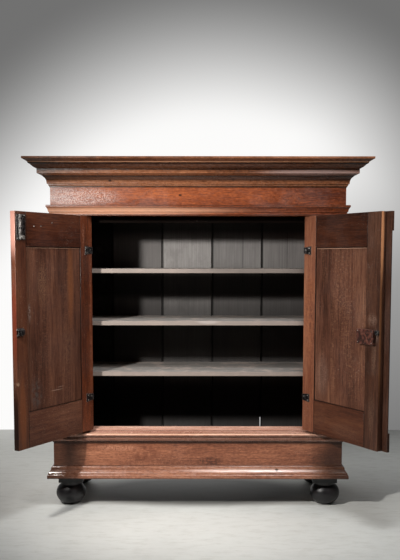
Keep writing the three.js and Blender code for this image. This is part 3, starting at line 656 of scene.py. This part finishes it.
# Painted shadows of the shelves: dark bands under the upper and middle shelves and at the foot: height,
# reach and share
BACK_SHADE = ((1.195, 0.11, 0.85), (0.880, 0.12, 0.45), (0.49, 0.19, 0.93))
BACK_SHADE_BLACK, BACK_SHADE_DEPTH = "020202", 0.02


def back_board_marks(board, plane):
    """Dark joints, fine cracks and the shelves' shadows on a back board's inner face."""
    marks = [((edge.x, plane, 1.0), *BACK_JOINT, 0) for edge in board]
    marks += [((x, plane, 1.4), *BACK_CRACK, 0) for x in BACK_CRACKS]
    for z, reach, share in BACK_SHADE:
        marks.append(line_mark(z, reach, BACK_SHADE_BLACK, share, plane, BACK_SHADE_DEPTH))
    return marks


def finish_inside():
    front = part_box("shelf_middle")[0].y
    marks = [
        ((0.045, front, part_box("shelf_middle")[1].z), (0.08, 0.012, 0.02), "e6ddd6", 0.2, 0),
        ((0.42, front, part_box("shelf_upper")[1].z), (0.62, 0.02, 0.05), "3f3a36", 0.5, 0),
    ]
    shelf = grey_oak("ShelfOak", SHELF_PALETTE, ALONG_X, seed=1, front=(front, SHELF_FRONT), marks=marks)
    for level in ("lower", "middle", "upper"):
        finish_node(f"shelf_{level}", shelf, FINE_BEVEL)
    finish_node("bottom_board", grey_oak("BottomOak", BOTTOM_PALETTE, ALONG_X, seed=2), FINE_BEVEL)
    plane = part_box("back_board_1")[0].y
    for number, palette in enumerate(BACK_PALETTES, 1):
        name = f"back_board_{number}"
        wood = grey_oak(
            f"BackOak{number}",
            palette,
            ALONG_Z,
            seed=number,
            rough=BACK_ROUGHNESS,
            edge_light=BACK_EDGE_LIGHT,
            painted_shade_plane=plane,
            marks=back_board_marks(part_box(name), plane),
        )
        finish_node(name, wood, FINE_BEVEL)
    finish_node("top_board", grey_oak("TopOak", TOP_PALETTE, ALONG_X, seed=7), FINE_BEVEL)


def finish_feet():
    black = black_paint("EbonisedWood")
    for place in ("front", "rear"):
        for side in SIDES:
            finish_node(f"foot_{place}_{side}", black, ROUND_BEVEL)


# Doors

DOOR_PALETTES = {
    "left": {
        "hinge_stile": ("33170e", "6b351e", "8c5130"),
        "meeting_stile": ("27120c", "4c2a1c", "653f2b"),
        "panel": ("28150f", "4f3024", "714b38"),
        "top_rail": ("1d0b06", "3c1c11", "5b3321"),
        "bottom_rail": ("27130d", "4e2d21", "714b38"),
    },
    "right": {
        "hinge_stile": ("49231a", "784934", "94684e"),
        "meeting_stile": ("22120c", "452a1e", "674534"),
        "panel": ("301a11", "5f3c2e", "825d46"),
        "top_rail": ("1a0a05", "391b0f", "55301d"),
        "bottom_rail": ("1f0e09", "462619", "5e3a27"),
    },
}
DOOR_SEEDS = {"left": 4, "right": 14}
FRAME_FLECK, PANEL_FLECK = 0.25, 0.45
JOINT_DARK, JOINT_WIDTH, JOINT_SHARE = "120805", 0.003, 0.85


def door_turn(side):
    return -DOOR_ANGLE if side == "left" else DOOR_ANGLE


def door_point(side, across, up, out=0.0):
    """A place at an opened door's inner face: across from its pin, up, and out from the wood."""
    hand = 1 if side == "left" else -1
    pin = Vector((MIDDLE_X - hand * PIN_HALF, PIN_Y, 0))
    local = Vector((hand * across, INNER_FACE + out, up))
    return pin + Matrix.Rotation(door_turn(side), 3, "Z") @ local


def door_mark(side, across, up, reach, code, share, fineness=0, out=0.0, depth=0.02):
    """A mark on a door's inner face, in the turned coordinates of the door's shaders."""
    at = Matrix.Rotation(-door_turn(side), 3, "Z") @ door_point(side, across, up, out)
    return (tuple(at), (reach[0], depth, reach[1]), code, share, fineness)


# Stains, scuffs and painted highlights: across from the pin, up, reach, colour, share, fineness, out and
# depth
DOOR_MARKS = {
    ("left", "panel"): [
        (0.497, 1.090, (0.012, 0.060), "9b8f88", 0.60, 90),
        # painted highlight along the panel's top edge
        (0.300, 1.407, (0.45, 0.003), "b08a72", 0.50),
        (0.455, 0.690, (0.060, 0.100), "4f4a48", 0.55, 40),
        (0.400, 1.225, (0.050, 0.150), "8a6246", 0.35, 120),
        (0.180, 1.230, (0.035, 0.300), "7d4a2a", 0.45, 0),
        (0.300, 0.684, (0.065, 0.002), "b09a8c", 0.60, 0),
        (0.270, 0.697, (0.040, 0.0015), "b09a8c", 0.50, 0),
        (0.210, 0.900, (0.050, 0.200), "6b4a38", 0.40, 60),
    ],
    ("left", "meeting_stile"): [
        (0.589, 0.750, (0.010, 0.012), "a1866f", 0.60, 0),
        (0.560, 0.600, (0.030, 0.250), "7a4526", 0.50, 0),
        # the free edge: painted highlight near the top, darker down to near black at the foot
        (0.5975, 1.500, (0.006, 0.180), "b98a7d", 0.50, 0, -0.014, 0.060),
        (0.5975, 1.050, (0.006, 0.280), "5c2214", 0.60, 0, -0.014, 0.060),
        (0.5975, 0.550, (0.006, 0.280), "120806", 0.85, 0, -0.014, 0.060),
    ],
    ("left", "hinge_stile"): [
        (0.075, 1.480, (0.012, 0.080), "8a6a5a", 0.35, 110),
        (0.020, 1.000, (0.012, 0.500), "8f5a41", 0.45, 40),
    ],
    ("left", "bottom_rail"): [(0.200, 0.500, (0.140, 0.060), "7d533e", 0.35, 200)],
    ("right", "panel"): [
        (0.160, 0.740, (0.075, 0.150), "a08c80", 0.22, 330),
        # painted highlight along the panel's top edge
        (0.300, 1.407, (0.45, 0.003), "c29c84", 0.60),
        (0.300, 1.200, (0.100, 0.200), "7a5240", 0.30, 90),
    ],
    ("right", "meeting_stile"): [
        (0.545, 1.062, (0.045, 0.040), "8d7365", 0.45, 220),
        (0.572, 0.985, (0.024, 0.040), "a08779", 0.45, 220),
        (0.560, 0.890, (0.024, 0.120), "7f6453", 0.40, 240),
        (0.548, 0.600, (0.030, 0.140), "7a5f4e", 0.35, 240),
        # painted highlights along the free edge's arris
        (0.5965, 1.450, (0.003, 0.300), "d9976a", 0.85, 0, -0.006, 0.016),
        (0.597, 1.000, (0.004, 0.500), "a8704a", 0.50, 0, -0.004, 0.012),
    ],
    ("right", "hinge_stile"): [(0.050, 1.050, (0.060, 0.350), "9a6242", 0.40, 60)],
    ("right", "bottom_rail"): [(0.350, 0.480, (0.140, 0.050), "7a5846", 0.35, 200)],
}


def joint_marks(side, part):
    """Dark lines where the door's stiles, rails and panel meet."""
    rows = [(across, 1.0, (JOINT_WIDTH, 4.0)) for across in (HINGE_JOINT, MEETING_JOINT[side])]
    if not part.endswith("stile"):
        rows += [(0.3, up, (4.0, JOINT_WIDTH)) for up in (FOOT_JOINT, HEAD_JOINT)]
    return [door_mark(side, *row, JOINT_DARK, JOINT_SHARE) for row in rows]


def finish_door(side):
    for i, (part, palette) in enumerate(DOOR_PALETTES[side].items()):
        marks = [door_mark(side, *row) for row in DOOR_MARKS.get((side, part), ())]
        wood = oak(
            f"DoorOak_{side}_{part}",
            palette,
            ALONG_X if part.endswith("rail") else ALONG_Z,
            turn=door_turn(side),
            seed=DOOR_SEEDS[side] + i,
            fleck=PANEL_FLECK if part == "panel" else FRAME_FLECK,
            wear=0.5,
            dust=0.3,
            marks=marks + joint_marks(side, part),
        )
        finish_node(f"{side}_door_{part}", wood)


# Iron

DARK_IRON = ("161516", "434041", "c9c5c0")
BRIGHT_IRON = ("4d4a48", "94908c", "e4e1dd")
RUSTED_IRON = ("2b1610", "61352a", "b58d7c")
NAIL_IRON = ("6f6a66", "a5a09b", "d8d4cf")

# Nails: across, up, out from the wood, and radius; on the hinge leaves across, and above the middle
NAIL_SEGMENTS, NAIL_RINGS, NAIL_FLATNESS = 10, 6, 0.5
LEAF_NAILS = ((0.018, 0.004), (0.048, 0.013), (0.048, -0.013))
STRAY_NAILS = [(0.459, 1.511, 0.0, 0.0035), (0.408, 1.513, 0.0, 0.0035), (0.325, 1.533, 0.0, 0.0025)]
KEEPER_NAILS = [(0.560, 1.017, 0.003, 0.0025), (0.560, 0.986, 0.003, 0.0025)]


def piece_from(name, build, body, material):
    """Makes a mesh object from what build puts into a bmesh, and hangs it on a body."""
    mesh = bpy.data.meshes.new(name)
    work = bmesh.new()
    build(work)
    bmesh.ops.recalc_face_normals(work, faces=work.faces)
    for face in work.faces:
        face.smooth = True
    work.to_mesh(mesh)
    work.free()
    made = bpy.data.objects.new(name, mesh)
    bpy.context.scene.collection.objects.link(made)
    made.data.materials.append(material)
    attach(made, body)


def add_nails(name, side, rows, material):
    """Flattened round nail heads on a door's inner face."""

    def build(work):
        turn = Matrix.Rotation(door_turn(side), 4, "Z")
        for across, up, out, radius in rows:
            flat = Matrix.Diagonal((radius, radius * NAIL_FLATNESS, radius, 1.0))
            matrix = Matrix.Translation(door_point(side, across, up, out)) @ turn @ flat
            bmesh.ops.create_uvsphere(
                work,
                u_segments=NAIL_SEGMENTS,
                v_segments=NAIL_RINGS,
                radius=1.0,
                matrix=matrix,
            )

    piece_from(name, build, f"{side}_door", material)


def leaf_nails():
    """Three nails on each of a door's two hinge leaves."""
    rows = []
    for level in ("upper", "lower"):
        low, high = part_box(f"hinge_strap_{level}_left")
        middle = (low.z + high.z) / 2
        rows += [(across, middle + rise, 0.0025, 0.0032) for across, rise in LEAF_NAILS]
    return rows


def corner_nails(across, up, width, height, out, radius):
    """Four nails at the corners of an iron plate."""
    return [(across + dx, up + dz, out, radius) for dx in (0.0, width) for dz in (0.0, height)]


def finish_iron():
    iron = forged_iron("ForgedIron", DARK_IRON)
    for side in SIDES:
        for level in ("upper", "lower"):
            finish_node(f"hinge_strap_{level}_{side}", iron, HINGE_BEVEL)
            finish_node(f"hinge_pintle_{level}_{side}", iron, HINGE_BEVEL)
    for name in ("door_bolt_plate", "lock_keeper", "escutcheon", "lock_bolt"):
        finish_node(name, iron, PLATE_BEVEL)
    finish_node("door_bolt", forged_iron("BrightIron", BRIGHT_IRON), FINE_BEVEL)
    finish_node("lock_case", forged_iron("RustedIron", RUSTED_IRON, metal=0.3), FINE_BEVEL)
    cover_palette = DOOR_PALETTES["right"]["meeting_stile"]
    cover = oak("DoorPilasterOak", cover_palette, ALONG_Z, turn=DOOR_ANGLE, seed=21, wear=0.9)
    finish_node("right_door_pilaster", cover, ROUND_BEVEL)
    nail = forged_iron("NailIron", NAIL_IRON)
    plate_nails = corner_nails(0.5315, 1.451, 0.050, 0.108, 0.003, 0.0028)
    add_nails("nails_left_door", "left", leaf_nails() + plate_nails + STRAY_NAILS + KEEPER_NAILS, nail)
    lock_nails = corner_nails(0.463, 0.950, 0.098, 0.056, 0.0205, 0.003)
    add_nails("nails_right_door", "right", leaf_nails() + lock_nails, nail)


# Stage, light and camera


def floor_material():
    """Pale worn concrete, clouded, with faint marks and painted shade under the cupboard."""
    s = Shader("FloorPaint")
    clean = linear(FLOOR_COLOUR)
    clouded = [c * FLOOR_CLOUD for c in clean[:3]] + [1.0]
    cloud = s.noise(s.place((0.9, 0.9, 0.9)), detail=6, roughness=0.6)
    colour = s.mix(s.span(cloud, 0.4, 0.62), clouded, clean)
    fine = s.noise(s.place((9, 24, 1)), detail=7, roughness=0.72)
    colour = s.tint(colour, s.span(fine, 0.44, 0.74), FLOOR_MARKS_SHARE, linear(FLOOR_MARKS))
    # Painted shadow under the cupboard
    under = s.patch(FLOOR_SHADOW_PLACE, FLOOR_SHADOW_REACH, FLOOR_SHADOW_BLUR)
    colour = s.tint(colour, under, FLOOR_SHADOW_SHARE, linear(FLOOR_SHADOW))
    s.feed(s.surface.inputs["Base Color"], colour)
    s.surface.inputs["Roughness"].default_value = FLOOR_ROUGHNESS
    return s.material


def wall_material():
    """A pale wall that glows by its own emission in a wide ellipse behind the object, with a painted
    shadow on its lower right, and that shows only its front.
    """
    s = Shader("WallPaint")
    axes = s.axes()
    across = s.minus(axes["X"], MIDDLE_X)
    side = s.math("DIVIDE", s.minus(across, GLOW_X), GLOW_REACH_X)
    rise = s.math("DIVIDE", s.minus(axes["Z"], GLOW_Z), GLOW_REACH_Z)
    far = s.math("SQRT", s.plus(s.times(side, side), s.times(rise, rise)))
    glow = s.span(far, 1.0, GLOW_CORE, GLOW_LOW, GLOW_HIGH)
    glow = s.math("SMOOTH_MIN", glow, GLOW_LIMIT, GLOW_BLEND)
    # Painted shadow of the cupboard on the wall's lower right
    lean = s.minus(across, axes["Z"])
    lower_right = s.span(lean, SHADE_START, SHADE_START + SHADE_WIDTH)
    shade = s.times(lower_right, s.span(across, 0.0, SHADE_SIDE))
    depth = s.minus(SHADE_FOOT, s.times(axes["Z"], SHADE_LOSS))
    glow = s.times(glow, s.minus(1.0, s.times(shade, depth)))
    s.surface.inputs["Base Color"].default_value = (0, 0, 0, 1)
    s.surface.inputs["Roughness"].default_value = 1.0
    s.surface.inputs["Specular IOR Level"].default_value = 0.0
    s.surface.inputs["Emission Color"].default_value = WALL_TINT
    s.feed(s.surface.inputs["Emission Strength"], glow)
    behind = s.node("ShaderNodeNewGeometry").outputs["Backfacing"]
    clear = s.node("ShaderNodeBsdfTransparent").outputs[0]
    output = s.tree.nodes["Material Output"]
    both = s.node("ShaderNodeMixShader", {0: behind, 1: s.surface.outputs[0], 2: clear}).outputs[0]
    s.feed(output.inputs["Surface"], both)
    return s.material


def add_plane(name, corners, material):
    mesh = bpy.data.meshes.new(name)
    mesh.from_pydata(corners, [], [(0, 1, 2, 3)])
    made = bpy.data.objects.new(name, mesh)
    bpy.context.scene.collection.objects.link(made)
    made.data.materials.append(material)


def add_stage():
    r = FLOOR_REACH
    floor = [(-r, -r, 0), (r, -r, 0), (r, r, 0), (-r, r, 0)]
    add_plane("Floor", floor, floor_material())
    wall = [(-r, WALL_Y, 0), (r, WALL_Y, 0), (r, WALL_Y, r), (-r, WALL_Y, r)]
    add_plane("Wall", wall, wall_material())


def place_light(name, data, place, target):
    made = bpy.data.objects.new(name, data)
    made.location = place
    made.rotation_euler = (Vector(target) - Vector(place)).to_track_quat("-Z", "Y").to_euler()
    bpy.context.scene.collection.objects.link(made)


def add_spot(name, place, target, radius, cone, power):
    spot = bpy.data.lights.new(name, "SPOT")
    spot.energy = power
    spot.shadow_soft_size = radius
    spot.spot_size = cone
    spot.spot_blend = 1.0
    spot.color = LIGHT_COLOUR
    place_light(name, spot, place, target)


def add_lights():
    add_spot("Key", KEY_PLACE, KEY_TARGET, KEY_RADIUS, KEY_CONE, KEY_POWER)
    add_spot("Fill", FILL_PLACE, FILL_TARGET, FILL_RADIUS, FILL_CONE, FILL_POWER)
    add_spot("Side", SIDE_PLACE, SIDE_TARGET, SIDE_RADIUS, SIDE_CONE, SIDE_POWER)
    top = bpy.data.lights.new("Top", "AREA")
    top.shape = "RECTANGLE"
    top.size = TOP_WIDTH
    top.size_y = TOP_DEPTH
    top.energy = TOP_POWER
    top.color = TOP_COLOUR
    place_light("Top", top, TOP_PLACE, TOP_TARGET)


def add_world():
    world = bpy.data.worlds.new("Studio")
    bpy.context.scene.world = world
    world.use_nodes = True
    back = world.node_tree.nodes["Background"]
    back.inputs["Color"].default_value = WORLD_COLOUR
    back.inputs["Strength"].default_value = WORLD_STRENGTH


def add_camera():
    data = bpy.data.cameras.new("PhotoCamera")
    data.sensor_fit = "AUTO"
    data.sensor_width = SENSOR
    data.lens = FOCAL_PIXELS / PHOTO_HEIGHT * SENSOR
    data.shift_x = (PHOTO_WIDTH / 2 - AXIS_PIXEL_X) / PHOTO_HEIGHT
    data.shift_y = (AXIS_PIXEL_Y - PHOTO_HEIGHT / 2) / PHOTO_HEIGHT
    camera = bpy.data.objects.new("PhotoCamera", data)
    tilt = Matrix.Rotation(math.pi / 2 - EYE_PITCH, 4, "X") @ Matrix.Rotation(EYE_ROLL, 4, "Z")
    camera.matrix_world = Matrix.Translation((MIDDLE_X, FRONT_Y - EYE_DISTANCE, EYE_HEIGHT)) @ tilt
    bpy.context.scene.collection.objects.link(camera)
    bpy.context.scene.camera = camera


def set_colours():
    view = bpy.context.scene.view_settings
    view.view_transform = "Standard"
    view.look = "None"


finish_case()
finish_inside()
finish_feet()
for door_side in SIDES:
    finish_door(door_side)
finish_iron()
add_stage()
add_world()
add_lights()
add_camera()
set_colours()
